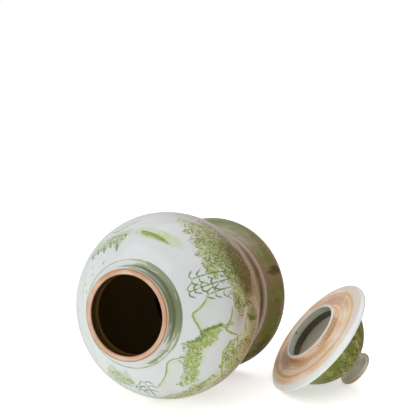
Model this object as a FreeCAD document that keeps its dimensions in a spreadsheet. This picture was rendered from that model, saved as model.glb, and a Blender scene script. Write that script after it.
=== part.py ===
# Porcelain ginger jar lying on its side, with its domed lid lying off beside it.
# Every piece is a turned section, so each one is a half profile revolved about its own axis.
# Jar axis: local +Z runs from the foot to the mouth.  Lid axis: local +Z runs from collar to knob.
# Row frame: +Z up, the jar's mouth towards -Y, the lid on the +X side, everything resting on Z = 0.
import FreeCAD, Part
import math
import os
import Sketcher

doc = FreeCAD.newDocument("ginger_jar")

# ---------------------------------------------------------------- driving dimensions, millimetres
SIZES = {
    "wall": 6.0,               # thickness of the thrown walls
    # globe-shaped upper body
    "globe_r": 100.0,          # widest radius of the jar
    "globe_height": 120.0,     # height of the widest line above the foot
    "shoulder_arc": 81.6,      # profile radius above the widest line
    # neck and mouth
    "neck_foot_r": 53.0,
    "neck_cove": 8.6,          # concave profile radius between shoulder and neck
    "neck_cove_top": 202.0,
    "rim_r": 46.8,
    "rim_height": 206.3,
    "mouth_r": 41.2,
    "rim_round": 1.2,
    # waist between the globe and the flared lower part
    "waist_height": 45.0,
    "waist_cove": 4.4,
    "upper_step_r": 67.6,
    "upper_step_height": 38.4,
    "upper_step_round": 6.5,
    "lower_step_r": 73.2,
    "lower_step_height": 32.2,
    "lower_step_round": 9.2,
    # flared lower part
    "lobe_r": 88.7,            # widest radius of the lower part
    "lobe_height": 8.0,
    "lobe_arc": 28.0,          # profile radius of the flare
    "lobe_top": 26.0,
    "throat_r": 68.0,          # where the inside of the flare turns towards the waist
    # foot
    "foot_height": 5.0,
    "foot_edge_height": 1.2,
    "foot_flat_r": 86.2,
    "foot_edge_round": 1.5,
    "foot_inner_r": 74.0,
    "foot_round": 1.5,
    "base_r": 76.0,
    "base_top": 12.0,
    # lid
    "collar_r": 36.5,
    "collar_inner_r": 33.3,
    "collar_drop": 7.0,        # how far the collar stands below the brim
    "collar_round": 0.8,
    "brim_flat_r": 61.0,       # where the unglazed flat under the brim ends
    "brim_lip_arc": 18.0,
    "brim_r": 72.0,
    "brim_edge_round": 2.0,
    "brim_edge_height": 12.8,
    "brim_edge_low_angle": 64.0,
    "brim_edge_high_angle": 80.0,
    "brim_top": 16.0,
    "dome_r": 54.1,
    "dome_arc": 54.8,
    "dome_top": 61.4,
    "dome_wall": 6.0,
    "knob_r": 20.85,
    "knob_edge_round": 2.8,
    "knob_edge_height": 71.3,
    "knob_edge_low_angle": 60.0,
    "knob_edge_high_angle": 75.0,
    "knob_cove": 11.0,
    "knob_top": 76.6,
    # how the two halves of the set lie on the surface
    "globe_x": -46.26,         # the globe's centre, seen from above
    "globe_y": -37.63,
    "lid_along_x": 127.0,      # the lid's collar edge, measured from the globe's centre
    "lid_along_y": 95.6,
    "lid_heading": 36.8,       # the way the lid's axis points, turned from +X towards +Y
}

sheet = doc.addObject("Spreadsheet::Sheet", "sizes")
for row, (alias, value) in enumerate(SIZES.items(), start=1):
    sheet.set("A%d" % row, alias)
    sheet.set("B%d" % row, str(value))
    sheet.setAlias("B%d" % row, alias)
doc.recompute()


def size(alias):
    """The number that the sheet holds under an alias."""
    return float(sheet.get(alias))


# ---------------------------------------------------------------- sizes worked out from the sheet
SHOULDER_AXIS_R = "(sizes.globe_r - sizes.shoulder_arc)"
LOBE_AXIS_R = "(sizes.lobe_r - sizes.lobe_arc)"


def on_arc_height(axis_r, axis_height, arc, radius, side="+"):
    """Height of the point at a radius on a profile arc, above (+) or below (-) its centre."""
    return "%s %s sqrt((%s)^2 - (%s - %s)^2)" % (axis_height, side, arc, radius, axis_r)


def on_arc_radius(axis_r, axis_height, arc, height):
    """Radius of the outer point at a height on a profile arc."""
    return "%s + sqrt((%s)^2 - (%s - %s)^2)" % (axis_r, arc, height, axis_height)


SHOULDER_INNER_ARC = "sizes.shoulder_arc - sizes.wall"
NECK_SEAM = on_arc_height(SHOULDER_AXIS_R, "sizes.globe_height", SHOULDER_INNER_ARC, "sizes.mouth_r")
NECK_SEAM_R = on_arc_radius(SHOULDER_AXIS_R, "sizes.globe_height", "sizes.shoulder_arc",
                            "(%s)" % NECK_SEAM)
NECK_FOOT = on_arc_height(SHOULDER_AXIS_R, "sizes.globe_height", "sizes.shoulder_arc",
                          "sizes.neck_foot_r")
WAIST_R = on_arc_radius("0", "sizes.globe_height", "sizes.globe_r", "sizes.waist_height")
WAIST_INNER_R = on_arc_radius("0", "sizes.globe_height", "sizes.globe_r - sizes.wall",
                              "sizes.waist_height")
GLOBE_INNER_R = "sizes.globe_r - sizes.wall"
LOBE_INNER_ARC = "sizes.lobe_arc - sizes.wall"
LOBE_TOP_R = on_arc_radius(LOBE_AXIS_R, "sizes.lobe_height", "sizes.lobe_arc", "sizes.lobe_top")
FOOT_SEAM_R = on_arc_radius(LOBE_AXIS_R, "sizes.lobe_height", "sizes.lobe_arc",
                            "sizes.foot_height")
FOOT_EDGE_R = on_arc_radius(LOBE_AXIS_R, "sizes.lobe_height", "sizes.lobe_arc",
                            "sizes.foot_edge_height")
LEDGE_R = on_arc_radius(LOBE_AXIS_R, "sizes.lobe_height", LOBE_INNER_ARC, "sizes.base_top")
THROAT = on_arc_height(LOBE_AXIS_R, "sizes.lobe_height", LOBE_INNER_ARC, "sizes.throat_r")

DOME_CENTRE = "(sizes.brim_top - sqrt(sizes.dome_arc^2 - sizes.dome_r^2))"
DOME_INNER_ARC = "(sizes.dome_arc - sizes.dome_wall)"
DOME_INNER_R = on_arc_radius("0", DOME_CENTRE, DOME_INNER_ARC, "sizes.brim_top")
DOME_INNER_TOP = "%s + %s" % (DOME_CENTRE, DOME_INNER_ARC)
DOME_SEAT_R = on_arc_radius("0", DOME_CENTRE, "sizes.dome_arc", "sizes.dome_top")


def edge_point(part, which, sign):
    """Radius and height of one end of a rounded outer edge, at an angle from its middle line."""
    centre_r = "(sizes.%s_r - sizes.%s_edge_round)" % (part, part)
    angle = "sizes.%s_edge_%s_angle * 1deg" % (part, which)
    radius = "%s + sizes.%s_edge_round * cos(%s)" % (centre_r, part, angle)
    height = "sizes.%s_edge_height %s sizes.%s_edge_round * sin(%s)" % (part, sign, part, angle)
    return radius, height


# ---------------------------------------------------------------- turned pieces
def arc_geometry(start, end, radius, side):
    """A circular arc between two points; side +1 puts its centre to the left of the travel."""
    chord = end - start
    half = chord.Length / 2
    normal = FreeCAD.Vector(-chord.y, chord.x, 0).normalize()
    centre = (start + end) / 2 + normal * side * math.sqrt(radius ** 2 - half ** 2)
    first, last = (start, end) if side > 0 else (end, start)
    angles = [math.atan2(p.y - centre.y, p.x - centre.x) for p in (first, last)]
    circle = Part.Circle(centre, FreeCAD.Vector(0, 0, 1), radius)
    return Part.ArcOfCircle(circle, angles[0], angles[1])


def turned(label, outline):
    """A PartDesign body: a closed half profile revolved about the body's Z axis.

    outline lists (radius, height, edge) for each corner, as expressions; edge says how the
    profile goes on to the next corner: None for a straight line, or (arc radius, side).
    """
    body = doc.addObject("PartDesign::Body", label)
    body.Label = label
    plane = next(f for f in body.Origin.OriginFeatures if f.Role == "XZ_Plane")
    sketch = body.newObject("Sketcher::SketchObject", label + "_profile")
    sketch.AttachmentSupport = [(plane, "")]
    sketch.MapMode = "FlatFace"

    corners = [FreeCAD.Vector(float(sketch.evalExpression(radius)),
                              float(sketch.evalExpression(height)), 0)
               for radius, height, edge in outline]
    ends = []
    for index, (radius, height, edge) in enumerate(outline):
        start, end = corners[index], corners[(index + 1) % len(corners)]
        if edge is None:
            number = sketch.addGeometry(Part.LineSegment(start, end), False)
            ends.append((number, 1, 2))
        else:
            arc_radius, side = edge
            value = float(sketch.evalExpression(arc_radius))
            number = sketch.addGeometry(arc_geometry(start, end, value, side), False)
            ends.append((number, 1, 2) if side > 0 else (number, 2, 1))

    def bind(kind, name, expression, *where):
        """A dimension constraint whose value follows the sheet."""
        value = float(sketch.evalExpression(expression))
        number = sketch.addConstraint(Sketcher.Constraint(kind, *where, value))
        sketch.renameConstraint(number, name)
        sketch.setExpression("Constraints." + name, expression)

    for index, (radius, height, edge) in enumerate(outline):
        number, start_point, end_point = ends[index]
        following, next_start, next_end = ends[(index + 1) % len(ends)]
        sketch.addConstraint(Sketcher.Constraint("Coincident", number, end_point,
                                                 following, next_start))
        if radius == "0":
            sketch.addConstraint(Sketcher.Constraint("PointOnObject", number, start_point, -2))
        else:
            bind("DistanceX", "corner_%d_radius" % index, radius, -1, 1, number, start_point)
        if height == "0":
            sketch.addConstraint(Sketcher.Constraint("PointOnObject", number, start_point, -1))
        else:
            bind("DistanceY", "corner_%d_height" % index, height, -1, 1, number, start_point)
        if edge is not None:
            bind("Radius", "edge_%d_arc" % index, edge[0], number)

    revolution = body.newObject("PartDesign::Revolution", label + "_turned")
    revolution.Profile = sketch
    revolution.ReferenceAxis = (sketch, ["V_Axis"])
    revolution.Angle = 360
    body.Tip = revolution
    return body


OUT, HOLLOW = 1, -1            # an arc that bulges out of the clay, or is cut into it
ROUND = ("sizes.rim_round", OUT)


def neck_ring():
    return turned("neck_ring", [
        ("sizes.mouth_r", NECK_SEAM, None),
        (NECK_SEAM_R, NECK_SEAM, ("sizes.shoulder_arc", OUT)),
        ("sizes.neck_foot_r", NECK_FOOT, ("sizes.neck_cove", HOLLOW)),
        ("sizes.rim_r", "sizes.neck_cove_top", None),
        ("sizes.rim_r", "sizes.rim_height - sizes.rim_round", ROUND),
        ("sizes.rim_r - sizes.rim_round", "sizes.rim_height", None),
        ("sizes.mouth_r + sizes.rim_round", "sizes.rim_height", ROUND),
        ("sizes.mouth_r", "sizes.rim_height - sizes.rim_round", None),
    ])


def shoulder_section():
    return turned("shoulder_section", [
        (GLOBE_INNER_R, "sizes.globe_height", None),
        ("sizes.globe_r", "sizes.globe_height", ("sizes.shoulder_arc", OUT)),
        (NECK_SEAM_R, NECK_SEAM, None),
        ("sizes.mouth_r", NECK_SEAM, (SHOULDER_INNER_ARC, HOLLOW)),
    ])


def belly_section():
    return turned("belly_section", [
        (WAIST_INNER_R, "sizes.waist_height", None),
        (WAIST_R, "sizes.waist_height", ("sizes.globe_r", OUT)),
        ("sizes.globe_r", "sizes.globe_height", None),
        (GLOBE_INNER_R, "sizes.globe_height", (GLOBE_INNER_R, HOLLOW)),
    ])


def lower_section():
    return turned("lower_section", [
        ("sizes.base_r", "sizes.foot_height", None),
        (FOOT_SEAM_R, "sizes.foot_height", ("sizes.lobe_arc", OUT)),
        (LOBE_TOP_R, "sizes.lobe_top", ("sizes.lower_step_round", OUT)),
        ("sizes.lower_step_r", "sizes.lower_step_height", ("sizes.upper_step_round", OUT)),
        ("sizes.upper_step_r", "sizes.upper_step_height", ("sizes.waist_cove", HOLLOW)),
        (WAIST_R, "sizes.waist_height", None),
        (WAIST_INNER_R, "sizes.waist_height", None),
        ("sizes.throat_r", THROAT, (LOBE_INNER_ARC, HOLLOW)),
        (LEDGE_R, "sizes.base_top", None),
        ("sizes.base_r", "sizes.base_top", None),
    ])


def base_disc():
    return turned("base_disc", [
        ("0", "sizes.foot_height", None),
        ("sizes.base_r", "sizes.foot_height", None),
        ("sizes.base_r", "sizes.base_top", None),
        ("0", "sizes.base_top", None),
    ])


def foot_ring():
    return turned("foot_ring", [
        ("sizes.foot_inner_r + sizes.foot_round", "0", None),
        ("sizes.foot_flat_r", "0", ("sizes.foot_edge_round", OUT)),
        (FOOT_EDGE_R, "sizes.foot_edge_height", ("sizes.lobe_arc", OUT)),
        (FOOT_SEAM_R, "sizes.foot_height", None),
        ("sizes.foot_inner_r", "sizes.foot_height", None),
        ("sizes.foot_inner_r", "sizes.foot_round", ("sizes.foot_round", OUT)),
    ])


def lid_collar():
    soft_edge = ("sizes.collar_round", OUT)
    return turned("lid_collar", [
        ("sizes.collar_inner_r + sizes.collar_round", "0", None),
        ("sizes.collar_r - sizes.collar_round", "0", soft_edge),
        ("sizes.collar_r", "sizes.collar_round", None),
        ("sizes.collar_r", "sizes.collar_drop", None),
        ("sizes.collar_inner_r", "sizes.collar_drop", None),
        ("sizes.collar_inner_r", "sizes.collar_round", soft_edge),
    ])


def lid_brim():
    low_r, low_height = edge_point("brim", "low", "-")
    high_r, high_height = edge_point("brim", "high", "+")
    return turned("lid_brim", [
        ("sizes.collar_inner_r", "sizes.collar_drop", None),
        ("sizes.brim_flat_r", "sizes.collar_drop", ("sizes.brim_lip_arc", OUT)),
        (low_r, low_height, ("sizes.brim_edge_round", OUT)),
        (high_r, high_height, None),
        ("sizes.dome_r", "sizes.brim_top", None),
        ("sizes.collar_inner_r", "sizes.brim_top", None),
    ])


def lid_dome():
    return turned("lid_dome", [
        (DOME_INNER_R, "sizes.brim_top", None),
        ("sizes.dome_r", "sizes.brim_top", ("sizes.dome_arc", OUT)),
        (DOME_SEAT_R, "sizes.dome_top", None),
        ("0", "sizes.dome_top", None),
        ("0", DOME_INNER_TOP, (DOME_INNER_ARC, HOLLOW)),
    ])


def lid_knob():
    low_r, low_height = edge_point("knob", "low", "-")
    high_r, high_height = edge_point("knob", "high", "+")
    rise = "(sizes.knob_top - (%s))" % high_height
    cap_arc = "((%s)^2 + %s^2) / (2 * %s)" % (high_r, rise, rise)
    return turned("lid_knob", [
        ("0", "sizes.dome_top", None),
        (DOME_SEAT_R, "sizes.dome_top", ("sizes.knob_cove", HOLLOW)),
        (low_r, low_height, ("sizes.knob_edge_round", OUT)),
        (high_r, high_height, (cap_arc, OUT)),
        ("0", "sizes.knob_top", None),
    ])


jar = [neck_ring(), shoulder_section(), belly_section(), lower_section(), base_disc(), foot_ring()]
lid = [lid_collar(), lid_brim(), lid_dome(), lid_knob()]
doc.recompute()


# ---------------------------------------------------------------- how the pieces lie at rest
def tangent_slope(wide, narrow):
    """Angle to the axis of the line that touches two profile circles (radius, height, round)."""
    reach = wide[0] - narrow[0]
    rise = abs(wide[1] - narrow[1])
    span = math.hypot(reach, rise)
    return math.atan2(reach, rise) + math.asin((wide[2] - narrow[2]) / span)


# The jar lies on its globe and on its flared lower part, so its mouth is tipped up a little.
globe = (0.0, size("globe_height"), size("globe_r"))
lobe = (size("lobe_r") - size("lobe_arc"), size("lobe_height"), size("lobe_arc"))
jar_tilt = tangent_slope(globe, lobe)
jar_axis = FreeCAD.Vector(0, -math.cos(jar_tilt), math.sin(jar_tilt))
globe_centre = FreeCAD.Vector(size("globe_x"), size("globe_y"), size("globe_r"))
jar_turn = FreeCAD.Rotation(FreeCAD.Vector(1, 0, 0), 90 - math.degrees(jar_tilt))
jar_place = FreeCAD.Placement(globe_centre - jar_axis * size("globe_height"), jar_turn)

# The lid lies on the edge of its brim and on the edge of its knob.
brim_edge = (size("brim_r") - size("brim_edge_round"), size("brim_edge_height"),
             size("brim_edge_round"))
knob_edge = (size("knob_r") - size("knob_edge_round"), size("knob_edge_height"),
             size("knob_edge_round"))
lid_tilt = tangent_slope(brim_edge, knob_edge)
lid_height = (brim_edge[0] * math.cos(lid_tilt) + brim_edge[1] * math.sin(lid_tilt)
              + brim_edge[2])
lid_base = FreeCAD.Vector(size("globe_x") + size("lid_along_x"),
                          size("globe_y") + size("lid_along_y"), lid_height)
lid_turn = (FreeCAD.Rotation(FreeCAD.Vector(0, 0, 1), size("lid_heading"))
            * FreeCAD.Rotation(FreeCAD.Vector(0, 1, 0), 90 + math.degrees(lid_tilt)))
lid_place = FreeCAD.Placement(lid_base, lid_turn)

for piece in jar:
    piece.Placement = jar_place
for piece in lid:
    piece.Placement = lid_place
doc.recompute()

# ---------------------------------------------------------------- check and write
for item in doc.Objects:
    if "Invalid" in item.State or "Error" in item.State:
        raise RuntimeError("%s did not recompute: %s" % (item.Label, item.State))
for piece in jar + lid:
    if piece.Shape.isNull() or not piece.Shape.isValid():
        raise RuntimeError("%s has no valid shape" % piece.Label)
    if len(piece.Shape.Solids) != 1:
        raise RuntimeError("%s is not one solid" % piece.Label)

os.makedirs("parts", exist_ok=True)
for piece in jar + lid:
    piece.Shape.exportStep("parts/%s.step" % piece.Label)
    print("%-18s %10.1f mm3" % (piece.Label, piece.Shape.Volume))
print("jar tilt %.3f deg, lid tilt %.3f deg" % (math.degrees(jar_tilt), math.degrees(lid_tilt)))
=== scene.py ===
import math

import bpy
import numpy as np
from mathutils import Matrix, Vector


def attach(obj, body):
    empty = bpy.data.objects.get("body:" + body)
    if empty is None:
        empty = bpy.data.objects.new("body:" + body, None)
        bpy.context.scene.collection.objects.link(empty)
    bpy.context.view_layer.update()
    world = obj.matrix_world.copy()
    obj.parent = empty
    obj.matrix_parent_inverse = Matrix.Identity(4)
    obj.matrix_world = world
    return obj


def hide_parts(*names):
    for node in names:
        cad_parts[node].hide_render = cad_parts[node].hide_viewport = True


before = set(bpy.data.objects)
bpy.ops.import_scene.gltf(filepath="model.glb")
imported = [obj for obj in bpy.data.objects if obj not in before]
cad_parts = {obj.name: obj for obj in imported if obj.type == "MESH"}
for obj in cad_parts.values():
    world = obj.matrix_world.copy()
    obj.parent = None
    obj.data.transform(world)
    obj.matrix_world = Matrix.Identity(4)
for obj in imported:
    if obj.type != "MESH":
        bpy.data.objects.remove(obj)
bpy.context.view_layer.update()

MM = 0.001
rng = np.random.default_rng(11)

# ---------------------------------------------------------------- where the two turned bodies lie
JAR_TILT, LID_TILT, LID_HEADING = 5.9593, 41.0200, 36.8
JAR_BASE = Vector((-46.26, 81.7215, 87.5414)) * MM
LID_BASE = Vector((80.74, 57.97, 63.2137)) * MM
JAR_PLACE = Matrix.Translation(JAR_BASE) @ Matrix.Rotation(math.radians(90 - JAR_TILT), 4, "X")
LID_PLACE = (Matrix.Translation(LID_BASE) @ Matrix.Rotation(math.radians(LID_HEADING), 4, "Z")
             @ Matrix.Rotation(math.radians(90 + LID_TILT), 4, "Y"))

# ---------------------------------------------------------------- sizes, millimetres
WALL = 6.0
GLOBE_R, GLOBE_Z, SHOULDER_ARC = 100.0, 120.0, 81.6
SHOULDER_C = GLOBE_R - SHOULDER_ARC
MOUTH_R, RIM_R, RIM_Z, RIM_ROUND = 41.2, 46.8, 206.3, 1.2
NECK_FOOT_R, NECK_COVE, NECK_COVE_TOP = 53.0, 8.6, 202.0
WAIST_Z, WAIST_COVE = 45.0, 4.4
UPPER_STEP, UPPER_STEP_ROUND = (67.6, 38.4), 6.5
LOWER_STEP, LOWER_STEP_ROUND = (73.2, 32.2), 9.2
LOBE_R, LOBE_Z, LOBE_ARC, LOBE_TOP, THROAT_R = 88.7, 8.0, 28.0, 26.0, 68.0
LOBE_C = LOBE_R - LOBE_ARC
FOOT_Z, FOOT_EDGE_Z, FOOT_FLAT_R, FOOT_INNER_R, FOOT_ROUND = 5.0, 1.2, 86.2, 74.0, 1.5
BASE_R, BASE_TOP = 76.0, 12.0
COLLAR_R, COLLAR_INNER_R, COLLAR_DROP, COLLAR_ROUND = 36.5, 33.3, 7.0, 0.8
BRIM_R, BRIM_FLAT_R, BRIM_LIP_ARC, BRIM_TOP = 72.0, 61.0, 18.0, 16.0
BRIM_EDGE_Z, BRIM_EDGE_ROUND, BRIM_EDGE_LOW, BRIM_EDGE_HIGH = 12.8, 2.0, 64, 80
DOME_R, DOME_ARC, DOME_TOP = 54.1, 54.8, 61.4
KNOB_R, KNOB_COVE, KNOB_TOP = 20.85, 11.0, 76.6
KNOB_EDGE_Z, KNOB_EDGE_ROUND, KNOB_EDGE_LOW, KNOB_EDGE_HIGH = 71.3, 2.8, 60, 75


def on_arc_z(cr, cz, radius, r):
    """The height at which a profile arc centred on (cr, cz) reaches radius r."""
    return cz + math.sqrt(radius ** 2 - (r - cr) ** 2)


def on_arc_r(cr, cz, radius, z):
    """The radius that a profile arc centred on (cr, cz) has at height z."""
    return cr + math.sqrt(radius ** 2 - (z - cz) ** 2)


NECK_SEAM = on_arc_z(SHOULDER_C, GLOBE_Z, SHOULDER_ARC - WALL, MOUTH_R)
NECK_SEAM_R = on_arc_r(SHOULDER_C, GLOBE_Z, SHOULDER_ARC, NECK_SEAM)
NECK_FOOT = on_arc_z(SHOULDER_C, GLOBE_Z, SHOULDER_ARC, NECK_FOOT_R)
WAIST_R = on_arc_r(0, GLOBE_Z, GLOBE_R, WAIST_Z)
WAIST_INNER_R = on_arc_r(0, GLOBE_Z, GLOBE_R - WALL, WAIST_Z)
LOBE_TOP_R = on_arc_r(LOBE_C, LOBE_Z, LOBE_ARC, LOBE_TOP)
FOOT_SEAM_R = on_arc_r(LOBE_C, LOBE_Z, LOBE_ARC, FOOT_Z)
FOOT_EDGE_R = on_arc_r(LOBE_C, LOBE_Z, LOBE_ARC, FOOT_EDGE_Z)
LEDGE_R = on_arc_r(LOBE_C, LOBE_Z, LOBE_ARC - WALL, BASE_TOP)
THROAT_Z = on_arc_z(LOBE_C, LOBE_Z, LOBE_ARC - WALL, THROAT_R)
DOME_C = BRIM_TOP - math.sqrt(DOME_ARC ** 2 - DOME_R ** 2)
DOME_INNER_ARC = DOME_ARC - WALL
DOME_INNER_R = on_arc_r(0, DOME_C, DOME_INNER_ARC, BRIM_TOP)
DOME_SEAT_R = on_arc_r(0, DOME_C, DOME_ARC, DOME_TOP)


def edge(radius, edge_round, height, angle, sign):
    """One end of a rounded outer edge."""
    return (radius - edge_round + edge_round * math.cos(math.radians(angle)),
            height + sign * edge_round * math.sin(math.radians(angle)))


def run(points, p, q, step, bend=None):
    """Adds the points from p to just before q: a line, or an arc given by (radius, side)."""
    p, q = np.array(p, float), np.array(q, float)
    if bend is None:
        length = np.linalg.norm(q - p)
        count = max(1, round(length / step))
        for t in np.arange(count) / count:
            points.append(tuple(p + (q - p) * t))
        return
    radius, side = bend
    chord = q - p
    half = np.linalg.norm(chord) / 2
    normal = np.array([-chord[1], chord[0]]) / (2 * half)
    centre = (p + q) / 2 + normal * side * math.sqrt(max(radius ** 2 - half ** 2, 0))
    a = math.atan2(*(p - centre)[::-1])
    turn = 2 * math.asin(min(half / radius, 1)) * side
    count = max(2, round(abs(turn) * radius / step))
    for t in np.arange(count) / count:
        points.append((centre[0] + radius * math.cos(a + turn * t),
                       centre[1] + radius * math.sin(a + turn * t)))


def profile(*corners):
    """Rows of (r, z) along the corners, the name of the stretch that each row begins, and whether it closes.

    A corner is (r, z, name, step, bend); a last corner without a name ends an open profile on the axis.
    """
    rows, names = [], []
    closed = corners[-1][2] is not None
    for k, (r, z, name, step, bend) in enumerate(corners):
        if name is None:
            rows.append((r, z))
            names.append(None)
            break
        following = corners[(k + 1) % len(corners)]
        before = len(rows)
        run(rows, (r, z), following[:2], step, bend)
        names += [name] * (len(rows) - before)
    return np.array(rows), names, closed


EVEN_WITHIN = 40  # the radius below which the wall runs true, as on a knob


def thrown(theta, z, amount):
    """The slight out-of-round of a hand-thrown wall, in millimetres."""
    return amount * (0.6 * np.sin(2 * theta + 0.8 + z * 0.006)
                     + 0.3 * np.sin(3 * theta - 1.1 + z * 0.013)
                     + 0.25 * np.sin(theta + z * 0.05))


def turn(name, shape, count, place, materials, wobble=0.2):
    """Revolves a profile into a closed mesh at its place; materials maps stretch names to materials."""
    rows, names, closed = shape
    theta = np.arange(count) * 2 * math.pi / count - math.pi
    r, z = rows[:, 0][:, None], rows[:, 1][:, None]
    grid_t = np.broadcast_to(theta[None], (len(rows), count))
    radius = r + thrown(grid_t, z, wobble) * np.clip(r / EVEN_WITHIN, 0, 1)
    height = np.broadcast_to(z, radius.shape)
    xyz = np.stack([radius * np.cos(grid_t), radius * np.sin(grid_t), height], -1) * MM
    verts = xyz.reshape(-1, 3)
    index = np.arange(len(rows) * count).reshape(len(rows), count)
    keep = np.ones(len(verts), bool)
    poles = [i for i in range(len(rows)) if rows[i, 0] < 1e-6]
    for i in poles:
        keep[index[i, 1:]] = False
        verts[index[i, 0]] = (0, 0, rows[i, 1] * MM)
        index[i, :] = index[i, 0]
    new = np.cumsum(keep) - 1
    index = new[index]
    faces, slots = [], []
    order = []
    for stretch in names:
        if stretch is not None and materials[stretch] not in order:
            order.append(materials[stretch])
    last = len(rows) if closed else len(rows) - 1
    for i in range(last):
        a, b = index[i], index[(i + 1) % len(rows)]
        a2, b2 = np.roll(a, -1), np.roll(b, -1)
        slot = order.index(materials[names[i]])
        if i in poles:
            quads = np.stack([a, b2, b], -1)
        elif (i + 1) % len(rows) in poles:
            quads = np.stack([a, a2, b], -1)
        else:
            quads = np.stack([a, a2, b2, b], -1)
        faces += quads.tolist()
        slots += [slot] * len(quads)
    mesh = bpy.data.meshes.new(name)
    verts = verts[keep] @ np.array(place.to_3x3()).T + np.array(place.translation)
    mesh.from_pydata(verts.tolist(), [], faces)
    for material in order:
        mesh.materials.append(material)
    mesh.polygons.foreach_set("material_index", np.array(slots, np.int32))
    mesh.polygons.foreach_set("use_smooth", np.ones(len(faces), bool))
    mesh.set_sharp_from_angle(angle=math.radians(50))
    mesh.update()
    obj = bpy.data.objects.new(name, mesh)
    bpy.context.scene.collection.objects.link(obj)
    data = {"theta": grid_t.reshape(-1)[keep],
            "r": np.broadcast_to(r, radius.shape).reshape(-1)[keep],
            "z": height.reshape(-1)[keep]}
    return obj, data


def attribute(obj, name, values):
    """Keeps one value for each vertex under a name that a material's layer reads."""
    layer = obj.data.attributes.new(name, "FLOAT", "POINT")
    layer.data.foreach_set("value", np.asarray(values, np.float32))


# ---------------------------------------------------------------- simple node helpers
class Shader:
    """A material's node tree, written from the inputs towards the surface.

    With a place, its coordinates are those of the turned body: Z along the axis.
    """

    def __init__(self, name, place=None):
        self.material = bpy.data.materials.new(name)
        self.material.use_nodes = True
        self.tree = self.material.node_tree
        self.tree.nodes.clear()
        self.out = self.tree.nodes.new("ShaderNodeOutputMaterial")
        self.bsdf = self.tree.nodes.new("ShaderNodeBsdfPrincipled")
        self.tree.links.new(self.bsdf.outputs[0], self.out.inputs["Surface"])
        self.point = self.add("ShaderNodeTexCoord").outputs["Object"]
        if place is not None:
            own = self.add("ShaderNodeMapping", vector_type="TEXTURE")
            own.inputs["Location"].default_value = place.translation
            own.inputs["Rotation"].default_value = place.to_euler()
            self.tree.links.new(self.point, own.inputs["Vector"])
            self.point = own.outputs["Vector"]
        split = self.add("ShaderNodeSeparateXYZ")
        self.tree.links.new(self.point, split.inputs[0])
        self.x, self.y, self.z = split.outputs
        self.r = self.math("SQRT", self.plus(self.times(self.x, self.x), self.times(self.y, self.y)))

    def add(self, kind, **settings):
        node = self.tree.nodes.new(kind)
        for key, value in settings.items():
            setattr(node, key, value)
        return node

    def put(self, socket, value):
        if isinstance(value, bpy.types.NodeSocket):
            self.tree.links.new(value, socket)
        elif isinstance(value, tuple) and len(value) == 3 and socket.type == "RGBA":
            socket.default_value = (*value, 1)
        else:
            socket.default_value = value

    def math(self, op, a, b=None):
        node = self.add("ShaderNodeMath", operation=op)
        for socket, value in zip(node.inputs, (a, b)):
            if value is not None:
                self.put(socket, value)
        return node.outputs[0]

    def times(self, a, b):
        return self.math("MULTIPLY", a, b)

    def plus(self, a, b):
        return self.math("ADD", a, b)

    def mix(self, amount, a, b):
        node = self.add("ShaderNodeMix", data_type="RGBA")
        self.put(node.inputs["Factor"], amount)
        self.put(node.inputs[6], a)
        self.put(node.inputs[7], b)
        return node.outputs[2]

    def step(self, x, low, high, to=(0.0, 1.0)):
        """Eases from to[0] to to[1] as x goes from low to high."""
        node = self.add("ShaderNodeMapRange", interpolation_type="SMOOTHSTEP")
        self.put(node.inputs["Value"], x)
        for key, value in zip(("From Min", "From Max", "To Min", "To Max"), (low, high, *to)):
            self.put(node.inputs[key], value)
        return node.outputs["Result"]

    def noise(self, scale, detail=3.0, rough=0.55, vector=None, distort=0.0):
        node = self.add("ShaderNodeTexNoise")
        self.put(node.inputs["Vector"], vector or self.point)
        keys = ("Scale", "Detail", "Roughness", "Distortion")
        for key, value in zip(keys, (scale, detail, rough, distort)):
            self.put(node.inputs[key], value)
        return node.outputs["Fac"]

    def around(self, across, axial, radial=0.0, turned=0.0):
        """A noise vector in the turned frame: how fast it changes round, along and out from the axis.

        turned replaces across where the noise is to keep pace with the angle at every radius.
        """
        node = self.add("ShaderNodeCombineXYZ")
        k = self.math("DIVIDE", turned, self.r) if turned else across
        self.put(node.inputs[0], self.times(self.x, k))
        self.put(node.inputs[1], self.times(self.y, k))
        self.put(node.inputs[2], self.plus(self.times(self.z, axial), self.times(self.r, radial)))
        return node.outputs[0]

    def cells(self, scale, out="Distance"):
        node = self.add("ShaderNodeTexVoronoi")
        self.put(node.inputs["Vector"], self.point)
        self.put(node.inputs["Scale"], scale)
        return node.outputs[out]

    def layer(self, name):
        """What attribute() kept on the mesh under this name."""
        return self.add("ShaderNodeAttribute", attribute_type="GEOMETRY", attribute_name=name).outputs["Fac"]

    def finish(self, colour, roughness, height=None, strength=0.0, distance=0.0, **constants):
        self.put(self.bsdf.inputs["Base Color"], colour)
        self.put(self.bsdf.inputs["Roughness"], roughness)
        for key, value in constants.items():
            self.bsdf.inputs[key.replace("_", " ")].default_value = value
        if height is not None:
            bump = self.add("ShaderNodeBump")
            self.put(bump.inputs["Height"], height)
            bump.inputs["Strength"].default_value = strength
            bump.inputs["Distance"].default_value = distance
            self.put(self.bsdf.inputs["Normal"], bump.outputs[0])
        return self.material


def rgb(code):
    """A display colour such as d5d9d8 as the linear values that a shader takes."""
    values = [int(code[i:i + 2], 16) / 255 for i in (0, 2, 4)]
    return tuple(v / 12.92 if v <= 0.04045 else ((v + 0.055) / 1.055) ** 2.4 for v in values)


def lit_floor(name, code, rough, glow):
    """A plain pale surface that gives off a little white light of its own."""
    s = Shader(name)
    colour = s.mix(s.noise(30), rgb(code), tuple(v * 0.97 for v in rgb(code)))
    s.bsdf.inputs["Emission Color"].default_value = (1, 1, 1, 1)
    s.bsdf.inputs["Emission Strength"].default_value = glow
    return s.finish(colour, rough)


# surface constants that the materials share
GLAZE = {"IOR": 1.5, "Coat_Weight": 0.12, "Coat_Roughness": 0.05}
CLAY = {"IOR": 1.45}


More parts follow.
